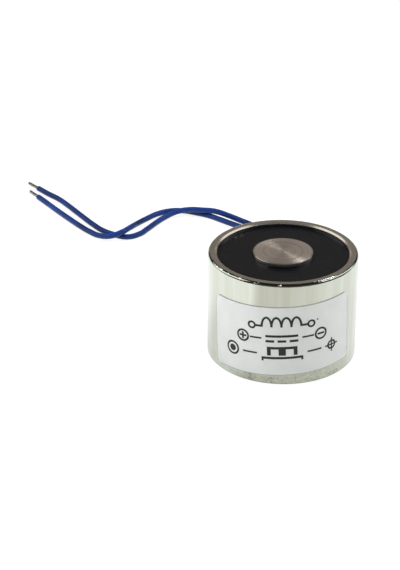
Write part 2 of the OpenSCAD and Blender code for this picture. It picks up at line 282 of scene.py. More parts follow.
# %% [markdown]
# ## Blue PVC
# Hook-up wire is covered with extruded soft PVC: a deep blue with a satin gloss. A plain colour would look
# like paint, so a slow noise varies the blue along the lead and a fine one breaks up the gloss.

# %% Lead insulation
blue_pvc, tree, coords = new_finish("extruded_blue_pvc")
# Patches of about 10 mm where the colour runs a little lighter
patches = add_node(tree, "TexNoise", {"Vector": coords, "Scale": 1 / (10 * MM), "Detail": 2})
blues = add_node(tree, "ValToRGB", {"Fac": patches}, ramp=[(0.3, "0E1D43"), (0.7, "193A82")])
# Drawing marks of the extruder, about 0.15 mm
marks = add_node(tree, "TexNoise", {"Vector": coords, "Scale": 1 / (0.15 * MM), "Detail": 2})
gloss = add_node(tree, "MapRange", {"Value": marks, "To Min": 0.28, "To Max": 0.44})
bump = add_node(tree, "Bump", {"Height": marks, "Strength": 0.08, "Distance": 0.02 * MM})
# Handled wire is a little dusty, so it reflects half of what clean PVC does
shader = add_node(tree, "BsdfPrincipled", {
    "Base Color": blues, "Roughness": gloss, "Normal": bump, "IOR": 1.53, "Specular IOR Level": 0.25,
})
add_node(tree, "OutputMaterial", {"Surface": shader})
dress(blue_pvc, *leads.values())
print("finish", blue_pvc.name)

# %% [markdown]
# ## Tinned wire ends
# The last 4 mm of each lead is stripped, twisted and dipped in solder: seven strands that wind round each
# other under a thin bright coat. They could be curves, but a Screw modifier is quicker: seven small circles
# drawn side by side are turned and lifted together, which twists them as the hand does.

# %% Wire ends
STRIP_LEN, STRAND_R, STRAND_LAY = 4.0, 0.4 / 3, 5.0
OUTER_STRANDS, STRAND_SIDES, LAY_STEPS = 6, 10, 24


def wind_up(piece, angle, rise, steps, turns=1):
    """Turns a flat section round the Z axis while it climbs, as a Screw modifier does."""
    only(piece)
    screw = piece.modifiers.new("winding", "SCREW")
    screw.axis = "Z"
    screw.angle = angle
    screw.screw_offset = rise * MM
    screw.iterations = turns
    screw.steps = screw.render_steps = steps
    bpy.ops.object.modifier_apply(modifier=screw.name)
    bpy.ops.object.mode_set(mode="EDIT")


def twisted_end(name, start, along):
    """A twist of seven strands that begins at start and points along a direction."""
    circle, size = bpy.ops.mesh.primitive_circle_add, {"vertices": STRAND_SIDES, "radius": STRAND_R * MM}
    twist = start_piece(name, circle, **size)
    bpy.ops.object.mode_set(mode="EDIT")
    for strand in range(OUTER_STRANDS):
        around = strand * math.tau / OUTER_STRANDS
        circle(location=Vector((math.cos(around), math.sin(around), 0)) * 2 * STRAND_R * MM, **size)
    bpy.ops.object.mode_set(mode="OBJECT")
    wind_up(twist, math.tau * STRIP_LEN / STRAND_LAY, STRIP_LEN, LAY_STEPS)
    close_mesh(smooth_angle=50)
    twist.rotation_mode = "QUATERNION"
    twist.rotation_quaternion = along.to_track_quat("Z", "Y")
    twist.location = start
    bpy.ops.object.transform_apply()
    return twist


ends = {}
for letter, line in lead_lines.items():
    next_to_last, last = Vector(line[-2]) * MM, Vector(line[-1]) * MM
    ends[letter] = twisted_end("wire_end_" + letter, last, (last - next_to_last) * Vector((1, 1, 0)))
    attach(ends[letter], "root")
    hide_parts("tinned_end_" + letter)
    print(ends[letter].name, "faces", len(ends[letter].data.polygons))

# %% [markdown]
# ## Plain grained finishes
# Solder, moulded nylon, rubber and ink are each one material with a fine, uneven skin. They share one
# recipe: two tones mixed by a noise at the size of the real grain, which also breaks up the gloss and gives
# a slight bump. Only the numbers differ, so the recipe is a function. The first to use it is the solder on
# the wire ends.

# %% Tinned strands


def grained_finish(name, tones, grain, gloss, bump=None, spread=(0.3, 0.7), detail=3, **constants):
    """Two tones with a grain in mm; gloss is a range of roughness, bump a strength and a depth in mm."""
    finish, tree, coords = new_finish(name)
    skin = add_node(tree, "TexNoise", {"Vector": coords, "Scale": 1 / (grain * MM), "Detail": detail})
    shades = add_node(tree, "ValToRGB", {"Fac": skin}, ramp=list(zip(spread, tones)))
    rough = add_node(tree, "MapRange", {"Value": skin, "To Min": gloss[0], "To Max": gloss[1]})
    look = {"Base Color": shades, "Roughness": rough, **constants}
    if bump:
        strength, depth = bump
        look["Normal"] = add_node(tree, "Bump", {
            "Height": skin, "Strength": strength, "Distance": depth * MM,
        })
    shader = add_node(tree, "BsdfPrincipled", look)
    add_node(tree, "OutputMaterial", {"Surface": shader})
    print("finish", name)
    return finish


# Lumps of the solder coat, about 0.4 mm
tinned = grained_finish("tinned_copper_strand", ("A9A8A4", "D2D1CC"), 0.4, (0.22, 0.45), (0.3, 0.03),
                        spread=(0.35, 0.65), Metallic=1.0)
dress(tinned, *ends.values())

# %% [markdown]
# ## The coil's tie
# A small black cable tie holds the two turns of lead together. Its strap is a flat band bent round the
# bundle, which is a block with a window cut through it: both faces are inset and bridged. The head is a
# second block with a slot for the strap, and the strap's end, snipped short, stands out of it.

# %% Tie's tools


def faces_along(piece, axis, sign):
    """Selects the faces of the piece in edit mode that look along one axis."""
    bpy.ops.mesh.select_all(action="DESELECT")
    bpy.ops.object.mode_set(mode="OBJECT")
    for face in piece.data.polygons:
        face.select = face.normal[axis] * sign > 0.9
    bpy.ops.object.mode_set(mode="EDIT")
    bpy.ops.mesh.select_mode(type="FACE")


def block(name, low, high):
    """A block between two corners, in millimetres, left in edit mode."""
    low, high = Vector(low) * MM, Vector(high) * MM
    made = start_piece(name, bpy.ops.mesh.primitive_cube_add, (low + high) / 2, size=1)
    made.scale = high - low
    bpy.ops.object.transform_apply()
    bpy.ops.object.mode_set(mode="EDIT")
    return made


def soften(piece, width, segments=2):
    """Rounds the sharp edges of a finished piece and smooths its shading."""
    bpy.ops.object.mode_set(mode="OBJECT")
    only(piece)
    bevel = piece.modifiers.new("soft_edges", "BEVEL")
    bevel.width = width * MM
    bevel.segments = segments
    bevel.limit_method = "ANGLE"
    bpy.ops.object.modifier_apply(modifier=bevel.name)
    bpy.ops.object.shade_smooth_by_angle(angle=math.radians(40))


print("tie's tools ready")

# %% Cable tie
TIE_T, TIE_W, TIE_SOFT = 0.5, 2.0, 0.22
TIE_IN, TIE_OUT = COIL_MIDDLE[0] + COIL_IN - TIE_T, COIL_MIDDLE[0] + COIL_OUT + TIE_T
HEAD_T, HEAD_W, HEAD_LAP, HEAD_SOFT = 1.6, 3.0, 0.25, 0.12
SLOT_EDGE, SLOT_DEPTH = 0.3, 0.4
TAIL_OUT, TAIL_W, TAIL_H, TAIL_TAPER, TAIL_SOFT = 0.35, 1.8, 2.1, 0.86, 0.1
tie_y, head_z = COIL_MIDDLE[1], COIL_H / 2

tie = block("cable_tie", (TIE_IN, tie_y - TIE_W / 2, 0), (TIE_OUT, tie_y + TIE_W / 2, COIL_H))
for sign in (1, -1):
    faces_along(tie, 1, sign)
    bpy.ops.mesh.inset(thickness=TIE_T * MM)
bpy.ops.object.mode_set(mode="OBJECT")
window = Vector(((TIE_IN + TIE_OUT) / 2, 0, head_z)) * MM
for face in tie.data.polygons:
    off_centre = (face.center - window) * Vector((1, 0, 1))
    face.select = abs(face.normal.y) > 0.9 and off_centre.length < 0.1 * MM
bpy.ops.object.mode_set(mode="EDIT")
bpy.ops.mesh.bridge_edge_loops()
soften(tie, TIE_SOFT, 3)

head = block("tie_head", (TIE_OUT - HEAD_LAP, tie_y - HEAD_W / 2, head_z - HEAD_W / 2),
             (TIE_OUT + HEAD_T, tie_y + HEAD_W / 2, head_z + HEAD_W / 2))
faces_along(head, 2, 1)
bpy.ops.mesh.inset(thickness=SLOT_EDGE * MM)
bpy.ops.mesh.extrude_region_move(TRANSFORM_OT_translate={"value": (0, 0, -SLOT_DEPTH * MM)})
soften(head, HEAD_SOFT)

tail = block("tie_tail", (TIE_OUT + TAIL_OUT, tie_y - TAIL_W / 2, head_z),
             (TIE_OUT + TAIL_OUT + TIE_T, tie_y + TAIL_W / 2, head_z + TAIL_H))
faces_along(tail, 2, 1)
bpy.ops.transform.resize(value=(1, TAIL_TAPER, 1))
soften(tail, TAIL_SOFT)

only(tie)
for piece in (head, tail):
    piece.select_set(True)
bpy.ops.object.join()
# Fine grain of the mould, about 0.2 mm
black_nylon = grained_finish("moulded_black_nylon", ("141415", "222224"), 0.2, (0.38, 0.55), (0.12, 0.02),
                             detail=2, IOR=1.53)
dress(black_nylon, tie)
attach(tie, "root")
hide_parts("coil_tie")
print(tie.name, "faces", len(tie.data.polygons))

# %% [markdown]
# ## Nickel plate
# The cup is turned from mild steel and plated with bright nickel, a slightly yellow mirror. It is not
# perfect, and its marks go by place: streaks run down the sides, stains and painted shade lie round the
# foot, and the rounded edge of the rim has painted glints. So the finish starts with two measures, the
# height and the distance from the axis, which the later masks are cut from.

# %% Plate
CUP_OUT, CUP_IN, BODY_H = 15.0, 13.2, 22.0
nickel, tree, coords = new_finish("bright_nickel_plate")
on_cup = add_node(tree, "SeparateXYZ", {"Vector": coords})
flat_space = add_node(tree, "Mapping", {"Vector": coords, "Scale": (1, 1, 0)})
from_axis = add_node(tree, "VectorMath", {0: flat_space}, operation="LENGTH")
# Upright streaks, about 1.5 mm wide and many times as tall
streak_space = add_node(tree, "Mapping", {"Vector": coords, "Scale": (1, 1, 0.05)})
streaks = add_node(tree, "TexNoise", {"Vector": streak_space, "Scale": 1 / (1.5 * MM), "Detail": 2})
plate = add_node(tree, "ValToRGB", {"Fac": streaks}, ramp=[(0.35, "D0D4C7"), (0.6, "D7DCD2")])
rough_plate = add_node(tree, "MapRange", {"Value": streaks, "To Min": 0.08, "To Max": 0.15})
print("plate of", nickel.name)

# %% [markdown]
# ## Stains round the foot
# The plate is dull and stained in a band round the foot, with a wavy upper end, and the band is also
# painted darker as a painted reflection of the shade near the base; the lower edge is painted darker still,
# a painted contact shade. A painted mask would need an image, so the band is the height less a slow noise.
# It is strongest on the front and the back, and the base itself stays clean.

# %% Stained foot
BAND_LOW, BAND_HIGH, BAND_UNDER, BAND_OVER = 2.4, 5.0, 1.0, 0.6
SIDE_FROM, SIDE_TO, SIDE_SHARE = 7.5, 11.5, 0.25
CONTACT_SHADE_FULL, CONTACT_SHADE_END, CONTACT_SHADE_SHARE, BASE_SKIN = 0.2, 0.45, 0.4, 0.02
waver = add_node(tree, "TexNoise", {"Vector": coords, "Scale": 1 / (6 * MM), "Detail": 2})
band_top = add_node(tree, "MapRange", {
    "Value": waver, "From Min": 0.4, "From Max": 0.65,
    "To Min": BAND_LOW * MM, "To Max": BAND_HIGH * MM,
})
above = add_node(tree, "Math", {0: on_cup.outputs["Z"], 1: band_top}, operation="SUBTRACT")
band = add_node(tree, "MapRange", {
    "Value": above, "From Min": -BAND_UNDER * MM, "From Max": BAND_OVER * MM, "To Min": 1, "To Max": 0,
})
off_base = add_node(tree, "Math", {0: on_cup.outputs["Z"], 1: BASE_SKIN * MM}, operation="GREATER_THAN")
lower = add_node(tree, "Math", {0: band, 1: off_base}, operation="MULTIPLY")
front_back = add_node(tree, "Math", {0: on_cup.outputs["Y"]}, operation="ABSOLUTE")
facing = add_node(tree, "MapRange", {
    "Value": front_back, "From Min": SIDE_FROM * MM, "From Max": SIDE_TO * MM,
    "To Min": SIDE_SHARE, "To Max": 1,
})
# Where the plate is stained, and painted darker as a reflection of the shade near the base
stained_and_shaded = add_node(tree, "Math", {0: lower, 1: facing}, operation="MULTIPLY")
# Stains about 0.6 mm across; their darker tones also carry the painted shade of the band
mottle = add_node(tree, "TexNoise", {"Vector": coords, "Scale": 1 / (0.6 * MM), "Detail": 6})
stain_and_shade_tones = add_node(tree, "ValToRGB", {"Fac": mottle}, ramp=[
    (0.28, "989E90"), (0.4, "BFC5B8"), (0.55, "CAD0C3"), (0.75, "D6DBD1"),
])
rough_stain = add_node(tree, "MapRange", {"Value": mottle, "To Min": 0.5, "To Max": 0.25})
# A Mix node's inputs go by number: 0 is the share, 2 and 3 are two numbers, 6 and 7 two colours
shade = add_node(tree, "Mix", {0: stained_and_shaded, 6: plate, 7: stain_and_shade_tones}, data_type="RGBA")
gloss = add_node(tree, "Mix", {0: stained_and_shaded, 2: rough_plate, 3: rough_stain})
# Painted contact shade: the side is painted darker in its lowest half millimetre, next to the table
contact_shade = add_node(tree, "MapRange", {
    "Value": on_cup.outputs["Z"], "From Min": CONTACT_SHADE_FULL * MM, "From Max": CONTACT_SHADE_END * MM,
    "To Min": CONTACT_SHADE_SHARE, "To Max": 0,
})
contact_shade_mask = add_node(tree, "Math", {0: contact_shade, 1: off_base}, operation="MULTIPLY")
contact_shaded = add_node(tree, "Mix", {0: contact_shade_mask, 6: shade, 7: linear("5C6056")}, data_type="RGBA")
print("stains up to", BAND_HIGH, "mm")

# %% [markdown]
# ## The rim's edges
# The rim has a rounded outer edge and a broken inner one. The inner edge is left as turned, so it is duller
# and warmer than the plate, with a little dust. On the rounded edge small spots are painted white, with no
# metal: painted glints. Modelled dents would be too small to see, so the glints are painted into the
# finish.

# %% Rim
CHAMFER_OUT, CHAMFER_Z, CHAMFER_FADE = CUP_IN + 0.3, BODY_H - 0.32, 0.1
GLINTS_IN, GLINTS_OUT, GLINTS_Z, GLINTS_FADE = CUP_OUT - 0.4, CUP_OUT - 0.1, BODY_H - 0.7, 0.05
TURNED_ROUGH, TURNED_DUST = 0.25, 0.14
inside = add_node(tree, "MapRange", {
    "Value": from_axis, "From Min": CHAMFER_OUT * MM, "From Max": (CHAMFER_OUT + CHAMFER_FADE) * MM,
    "To Min": 1, "To Max": 0,
})
dull = add_node(tree, "Mix", {0: inside, 2: gloss, 3: TURNED_ROUGH})
high = add_node(tree, "Math", {0: on_cup.outputs["Z"], 1: CHAMFER_Z * MM}, operation="GREATER_THAN")
chamfer = add_node(tree, "Math", {0: inside, 1: high}, operation="MULTIPLY")
glints_from = add_node(tree, "MapRange", {
    "Value": from_axis, "From Min": GLINTS_IN * MM, "From Max": (GLINTS_IN + GLINTS_FADE) * MM,
})
glints_to = add_node(tree, "MapRange", {
    "Value": from_axis, "From Min": (GLINTS_OUT - GLINTS_FADE) * MM, "From Max": GLINTS_OUT * MM,
    "To Min": 1, "To Max": 0,
})
on_round = add_node(tree, "Math", {0: glints_from, 1: glints_to}, operation="MULTIPLY")
at_top = add_node(tree, "Math", {0: on_cup.outputs["Z"], 1: GLINTS_Z * MM}, operation="GREATER_THAN")
edge_band = add_node(tree, "Math", {0: on_round, 1: at_top}, operation="MULTIPLY")
# Painted glints about 0.5 mm long, where a noise of 1.3 mm peaks
glint_noise = add_node(tree, "TexNoise", {"Vector": coords, "Scale": 1 / (1.3 * MM), "Detail": 2})
glint_peaks = add_node(tree, "MapRange", {"Value": glint_noise, "From Min": 0.57, "From Max": 0.63})
painted_glints = add_node(tree, "Math", {0: glint_peaks, 1: edge_band}, operation="MULTIPLY")
unglinted = add_node(tree, "Math", {0: 1.0, 1: painted_glints}, operation="SUBTRACT")
metal = add_node(tree, "Math", {0: chamfer, 1: -TURNED_DUST, 2: unglinted}, operation="MULTIPLY_ADD")
warmer = add_node(tree, "Mix", {0: chamfer, 6: contact_shaded, 7: linear("DCD0C3")}, data_type="RGBA")
# Painted glints: near-white spots on the rounded edge
colour = add_node(tree, "Mix", {0: painted_glints, 6: warmer, 7: linear("EDECE6")}, data_type="RGBA")
shader = add_node(tree, "BsdfPrincipled", {"Base Color": colour, "Metallic": metal, "Roughness": dull})
add_node(tree, "OutputMaterial", {"Surface": shader})
dress(nickel, "housing")
print("finish", nickel.name)

# %% [markdown]
# ## The pole
# The pole is turned from bar: a face, a rounded edge, a spigot that the cup's floor takes, and from below a
# drilled hole. It is made as on a lathe: half its section is drawn as a chain of edges and spun round the
# axis. The hole has the full width of its thread, because the thread's ridge is added next.

# %% Pole
CORE_R, FLOOR_T, SPIGOT_R = 6.0, 3.5, 4.0
EDGE_R, EDGE_ANGLES = 0.2, (0, 30, 60, 90)
THREAD_R, DRILL_R, MOUTH_R, THREAD_RAMP = 2.0, 1.65, 2.3, 0.3
THREAD_PITCH, THREAD_END, HOLE_END, DRILL_POINT = 0.7, 8.2, 9.0, 118
# Extra rings keep the faces of the spun mesh short
FACE_RINGS, SIDE_RING = (0, 2, 4), 12
POLE_STEPS = 96


def lathe(name, outline, steps):
    """Draws half a section as a chain of edges, as radius and height in millimetres, and spins it round."""
    turned = start_piece(name, bpy.ops.mesh.primitive_plane_add, size=MM)
    bpy.ops.object.mode_set(mode="EDIT")
    bpy.ops.mesh.select_mode(type="VERT")
    bpy.ops.mesh.merge(type="CENTER")
    corners = [Vector((radius, 0, height)) * MM for radius, height in outline]
    bpy.ops.transform.translate(value=corners[0])
    for here, there in zip(corners, corners[1:]):
        bpy.ops.mesh.extrude_region_move(TRANSFORM_OT_translate={"value": there - here})
    bpy.ops.mesh.select_all(action="SELECT")
    bpy.ops.mesh.spin(steps=steps, angle=math.tau, center=(0, 0, 0), axis=(0, 0, 1))
    close_mesh(smooth_angle=30, merge=0.002)
    return turned


round_edge = [
    (CORE_R - EDGE_R + EDGE_R * math.sin(angle), BODY_H - EDGE_R + EDGE_R * math.cos(angle))
    for angle in map(math.radians, EDGE_ANGLES)
]
drill_tip = HOLE_END + DRILL_R / math.tan(math.radians(DRILL_POINT / 2))
pole = lathe("turned_pole", [
    *((radius, BODY_H) for radius in FACE_RINGS), *round_edge, (CORE_R, SIDE_RING), (CORE_R, FLOOR_T),
    (SPIGOT_R, FLOOR_T), (SPIGOT_R, 0), (MOUTH_R, 0), (THREAD_R, THREAD_RAMP), (THREAD_R, THREAD_END),
    (DRILL_R, THREAD_END + THREAD_RAMP), (DRILL_R, HOLE_END), (0, drill_tip),
], POLE_STEPS)
print(pole.name, "faces", len(pole.data.polygons))

# %% [markdown]
# ## The thread
# A tap cuts a spiral groove and leaves a ridge of steel between its turns. The groove could be cut with a
# Boolean modifier, but that is slow and leaves poor faces. Here the ridge is made instead: a plane's four
# corners become its section, and the section is wound up the hole. Its foot is sunk a little into the wall.

# %% Thread
RIDGE_SINK, ROOT_HALF, CREST_HALF = 0.03, 0.27, 0.05
FIRST_TURN, FREE_LENGTH, THREAD_STEPS = 0.62, 0.9, 32
ridge_section = [
    (THREAD_R + RIDGE_SINK, -ROOT_HALF), (DRILL_R, -CREST_HALF), (DRILL_R, CREST_HALF),
    (THREAD_R + RIDGE_SINK, ROOT_HALF),
]
ridge = start_piece("thread_ridge", bpy.ops.mesh.primitive_plane_add, size=MM)
# The face lists its corners in order round it, so they are read before it is taken away
corner_order = list(ridge.data.polygons[0].vertices)
bpy.ops.object.mode_set(mode="EDIT")
bpy.ops.mesh.delete(type="ONLY_FACE")
bpy.ops.object.mode_set(mode="OBJECT")
for corner, (radius, height) in zip(corner_order, ridge_section):
    ridge.data.vertices[corner].co = Vector((radius, 0, FIRST_TURN + height)) * MM
thread_turns = int((THREAD_END - FREE_LENGTH) / THREAD_PITCH)
wind_up(ridge, math.tau, THREAD_PITCH, THREAD_STEPS, thread_turns)
close_mesh(smooth_angle=30, merge=0.001)
print(ridge.name, "turns", thread_turns, "faces", len(ridge.data.polygons))

# %% [markdown]
# ## Turned steel
# The pole is faced on a lathe, and the tool leaves a fine spiral on it. Such a face throws light into
# bright fans that turn with the viewer. The fans come from the anisotropic gloss of the shader round the Z
# axis. The grooves themselves are too fine to show, so they are drawn coarser, as rings in the tone, the
# gloss and the bump.

# %% Pole's finish
DUST_LOW, DUST_HIGH = BODY_H - 0.2, BODY_H - 0.05
turned_steel, tree, coords = new_finish("turned_mild_steel")
flat_space = add_node(tree, "Mapping", {"Vector": coords, "Scale": (1, 1, 0)})
from_axis = add_node(tree, "VectorMath", {0: flat_space}, operation="LENGTH")
# Real grooves are about 0.1 mm apart; these change every 0.7 mm from the axis, as fine as the render shows
grooves = add_node(
    tree, "TexNoise", {"W": from_axis, "Scale": 1 / (0.7 * MM), "Detail": 2}, noise_dimensions="1D")
steel = add_node(tree, "ValToRGB", {"Fac": grooves}, ramp=[(0.3, "CCC3B7"), (0.7, "EAE2D7")])
bump = add_node(tree, "Bump", {"Height": grooves, "Strength": 0.15, "Distance": 0.05 * MM})
gloss = add_node(tree, "MapRange", {"Value": grooves, "To Min": 0.26, "To Max": 0.36})
# The face has a little dust on it, the side none
on_pole = add_node(tree, "SeparateXYZ", {"Vector": coords})
clean = add_node(tree, "MapRange", {
    "Value": on_pole.outputs["Z"], "From Min": DUST_LOW * MM, "From Max": DUST_HIGH * MM,
    "To Min": 1, "To Max": 0.93,
})
# The tangent runs round the grooves, and a quarter turn makes the gloss spread across them
tangent = add_node(tree, "Tangent", direction_type="RADIAL", axis="Z")
shader = add_node(tree, "BsdfPrincipled", {
    "Base Color": steel, "Metallic": clean, "Roughness": gloss, "Normal": bump,
    "Anisotropic": 0.8, "Anisotropic Rotation": 0.25, "Tangent": tangent,
})
add_node(tree, "OutputMaterial", {"Surface": shader})
dress(turned_steel, pole, ridge)
for piece in (pole, ridge):
    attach(piece, "root")
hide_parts("core")
print("finish", turned_steel.name)

# %% [markdown]
# ## Cast resin
# Black epoxy is poured round the coil and sets with a satin skin, slightly uneven, with dust and pin holes.
# The base is nearly black, and what shows is its gloss, so slow waves go into the roughness and the dust
# into the tone and the bump.

# %% Potting
resin, tree, coords = new_finish("cast_black_epoxy")
# Dust and pin holes of about 0.5 mm, and waves of about 4 mm
dust = add_node(tree, "TexNoise", {"Vector": coords, "Scale": 1 / (0.5 * MM), "Detail": 4})
waves = add_node(tree, "TexNoise", {"Vector": coords, "Scale": 1 / (4 * MM), "Detail": 2})
blacks = add_node(tree, "ValToRGB", {"Fac": dust}, ramp=[(0.35, "06080B"), (0.75, "101317")])
gloss = add_node(tree, "MapRange", {"Value": waves, "To Min": 0.2, "To Max": 0.38})
bump = add_node(tree, "Bump", {"Height": dust, "Strength": 0.12, "Distance": 0.03 * MM})
shader = add_node(tree, "BsdfPrincipled", {
    "Base Color": blacks, "Roughness": gloss, "Normal": bump, "IOR": 1.5, "Specular IOR Level": 0.2,
})
add_node(tree, "OutputMaterial", {"Surface": shader})
dress(resin, "potting")
print("finish", resin.name)

# %% [markdown]
# ## The label
# The sticker is a white synthetic paper with round corners, put on by hand and a little crooked. A flat
# piece could be pressed on with a Shrinkwrap modifier, but a cup is a plain roll: a sheet that is cut
# across into narrow strips bends round it by one rule. The print is bent by the same rule, so it is a
# function.

# %% Label
LABEL_LONG, LABEL_TALL, LABEL_T, LABEL_CORNER = 30.6, 15.0, 0.1, 1.5
LABEL_MIDDLE, LABEL_TILT, LABEL_SHIFT = 9.7, math.radians(2.7), -0.6
UPRIGHT = (math.pi / 2, 0, 0)
STRIPS, ROWS, CORNER_STEPS = 48, 6, 6


def bend_round(piece, radius):
    """Turns a flat upright piece by the label's tilt and bends it round the cup."""
    for point in piece.data.vertices:
        across, up = point.co.x, point.co.z - LABEL_MIDDLE * MM
        along = across * math.cos(LABEL_TILT) - up * math.sin(LABEL_TILT) + LABEL_SHIFT * MM
        height = across * math.sin(LABEL_TILT) + up * math.cos(LABEL_TILT) + LABEL_MIDDLE * MM
        around = along / (CUP_OUT * MM)
        point.co = Vector((math.sin(around) * radius * MM, -math.cos(around) * radius * MM, height))


def thicken(piece, thickness):
    """Gives a bent sheet its thickness, outwards."""
    only(piece)
    layer = piece.modifiers.new("thickness", "SOLIDIFY")
    layer.thickness = thickness * MM
    layer.offset = 1
    bpy.ops.object.modifier_apply(modifier=layer.name)
    bpy.ops.object.shade_smooth_by_angle(angle=math.radians(30))


sticker = start_piece("paper_label", bpy.ops.mesh.primitive_plane_add, (0, 0, LABEL_MIDDLE * MM),
                      size=MM, rotation=UPRIGHT)
sticker.scale = (LABEL_LONG, LABEL_TALL, 1)
bpy.ops.object.transform_apply()
bpy.ops.object.mode_set(mode="EDIT")
bpy.ops.mesh.select_mode(type="VERT")
bpy.ops.mesh.bevel(offset=LABEL_CORNER * MM, segments=CORNER_STEPS, affect="VERTICES")
for strip in range(1, STRIPS):
    bpy.ops.mesh.select_all(action="SELECT")
    bpy.ops.mesh.bisect(plane_co=((strip / STRIPS - 0.5) * LABEL_LONG * MM, 0, 0), plane_no=(1, 0, 0))
for row in range(1, ROWS):
    bpy.ops.mesh.select_all(action="SELECT")
    cut_z = LABEL_MIDDLE + (row / ROWS - 0.5) * LABEL_TALL
    bpy.ops.mesh.bisect(plane_co=(0, 0, cut_z * MM), plane_no=(0, 0, 1))
bpy.ops.object.mode_set(mode="OBJECT")
bend_round(sticker, CUP_OUT)
thicken(sticker, LABEL_T)
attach(sticker, "root")
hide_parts("label")
print(sticker.name, "faces", len(sticker.data.polygons))

# %% [markdown]
# ## Synthetic paper
# The sheet is a satin white film, slightly cloudy, with a fine fibre in its skin. A thin grey line is
# painted along its edge, a painted shadow of the sheet's cut edge. The plane came with a UV map that still
# lies flat after the bending, and there an edge is easy to find: it is where the distance from the middle
# is nearly a half.

# %% Label's finish
EDGE_SHADOW_W, EDGE_SHADOW_FULL, EDGE_SHADOW_SHARE = 0.16, 0.08, 0.65
label_paper, tree, coords = new_finish("white_synthetic_paper")
# Clouds of about 3 mm
cloud = add_node(tree, "TexNoise", {"Vector": coords, "Scale": 1 / (3 * MM), "Detail": 4})
papers = add_node(tree, "ValToRGB", {"Fac": cloud}, ramp=[(0.3, "D8DBD9"), (0.7, "DDE1DE")])
sheet = add_node(tree, "TexCoord")
on_sheet = add_node(tree, "SeparateXYZ", {"Vector": sheet.outputs["UV"]})
borders = []
for axis, extent in (("X", LABEL_LONG), ("Y", LABEL_TALL)):
    from_middle = add_node(tree, "Math", {0: on_sheet.outputs[axis], 1: 0.5}, operation="SUBTRACT")
    far = add_node(tree, "Math", {0: from_middle}, operation="ABSOLUTE")
    borders.append(add_node(tree, "MapRange", {
        "Value": far, "From Min": 0.5 - EDGE_SHADOW_W / extent, "From Max": 0.5 - EDGE_SHADOW_FULL / extent,
    }))
border = add_node(tree, "Math", {0: borders[0], 1: borders[1]}, operation="MAXIMUM")
# The thin grey line along the edge is a painted shadow of the cut edge
edge_shadow = add_node(tree, "Math", {0: border, 1: EDGE_SHADOW_SHARE}, operation="MULTIPLY")
shade = add_node(tree, "Mix", {0: edge_shadow, 6: papers, 7: linear("6A6C6A")}, data_type="RGBA")
# Fibre of about 0.12 mm
fibre = add_node(tree, "TexNoise", {"Vector": coords, "Scale": 1 / (0.12 * MM), "Detail": 2})
bump = add_node(tree, "Bump", {"Height": fibre, "Strength": 0.06, "Distance": 0.02 * MM})
shader = add_node(tree, "BsdfPrincipled", {"Base Color": shade, "Roughness": 0.42, "Normal": bump})
add_node(tree, "OutputMaterial", {"Surface": shader})
dress(label_paper, sticker)
print("finish", label_paper.name)

# %% [markdown]
# ## The print on the label
# The label carries three rows of plain black signs: a winding between two terminals, the sign for direct
# current between plus and minus, and small drawings of the pole face, the pull on a plate and the mounting
# hole. They are drawn flat, as a printer does, with bars, rings and dots in one mesh, then bent round the
# cup and given the thickness of the ink.

# %% Print's tools
BEND_STEP = 0.7
DOT_SIDES, RING_SIDES = 24, 36


def bar(x, z, width, tall):
    """A filled bar with its middle at x and z, cut across so that it can bend."""
    middle = (x * MM, 0, z * MM)
    bpy.ops.mesh.primitive_plane_add(size=MM, location=middle, rotation=UPRIGHT)
    bpy.ops.transform.resize(value=(width, 1, tall), center_override=middle)
    bpy.ops.mesh.subdivide(number_cuts=max(1, round(width / BEND_STEP)))


def dot(x, z, radius):
    """A filled dot."""
    middle = (x * MM, 0, z * MM)
    bpy.ops.mesh.primitive_circle_add(
        vertices=DOT_SIDES, radius=radius * MM, fill_type="NGON", location=middle, rotation=UPRIGHT)


def ring(x, z, radius, stroke, tall=1.0):
    """A ring with its middle at x and z, made higher than wide by tall."""
    middle = (x * MM, 0, z * MM)
    bpy.ops.mesh.primitive_circle_add(
        vertices=RING_SIDES, radius=radius * MM, location=middle, rotation=UPRIGHT)
    bpy.ops.transform.resize(value=(1, 1, tall), center_override=middle)
    bpy.ops.mesh.extrude_edges_move()
    inner = (1 - stroke / radius, 1, 1 - stroke / (radius * tall))
    bpy.ops.transform.resize(value=inner, center_override=middle)
    bpy.ops.mesh.select_linked()


print("print's tools ready")

# %% Print
INK_GAP, INK_T = 0.004, 0.02
HUMPS, HUMP_PITCH, HUMP_Z, HUMP_R, HUMP_STROKE, HUMP_TALL = 4, 1.93, 12.9, 1.2, 0.45, 1.9
# Across, height over the base, width and height; each is drawn on both sides of the middle
PAIRED_BARS = [
    # Ends of the winding
    (4.6, 13.1, 1.5, 0.45),
    # Minus and the bar of the plus, the lines to them, and the outer dashes
    (7.9, 10.4, 1.5, 0.4), (5.2, 10.4, 2.4, 0.36), (2.35, 9.8, 1.7, 0.5),
    # Lines between the drawings, the magnet's outer legs, and marks under the plate
    (6.5, 7.0, 3.0, 0.36), (2.6, 7.4, 0.75, 1.5), (3.9, 5.8, 0.4, 0.7),
]
SINGLE_BARS = [
    # Upright of the plus, the line and the middle dash of the current
    (-7.9, 10.4, 0.4, 1.5), (0, 10.9, 6.4, 0.5), (0, 9.8, 1.7, 0.5),
    # Centre lines of the hole
    (10.4, 7.0, 3.1, 0.3), (10.4, 7.0, 0.3, 3.1),
    # The magnet's back, its middle leg, and the plate
    (0, 8.3, 5.95, 0.55), (0, 7.4, 1.4, 1.5), (0, 6.1, 8.2, 0.5),
]
# Across, height over the base, radius and stroke: terminals, plus and minus, pole face and mounting hole
RINGS = [
    (-5.9, 13.1, 0.85, 0.4), (5.9, 13.1, 0.85, 0.4), (-7.9, 10.4, 1.35, 0.4), (7.9, 10.4, 1.35, 0.4),
    (-10.4, 7.0, 1.5, 0.4), (10.4, 7.0, 1.05, 0.4),
]
# Across, height over the base and radius: the pole, and a speck of stray ink
DOTS = [(-10.4, 7.0, 0.7), (7.2, 13.7, 0.16)]

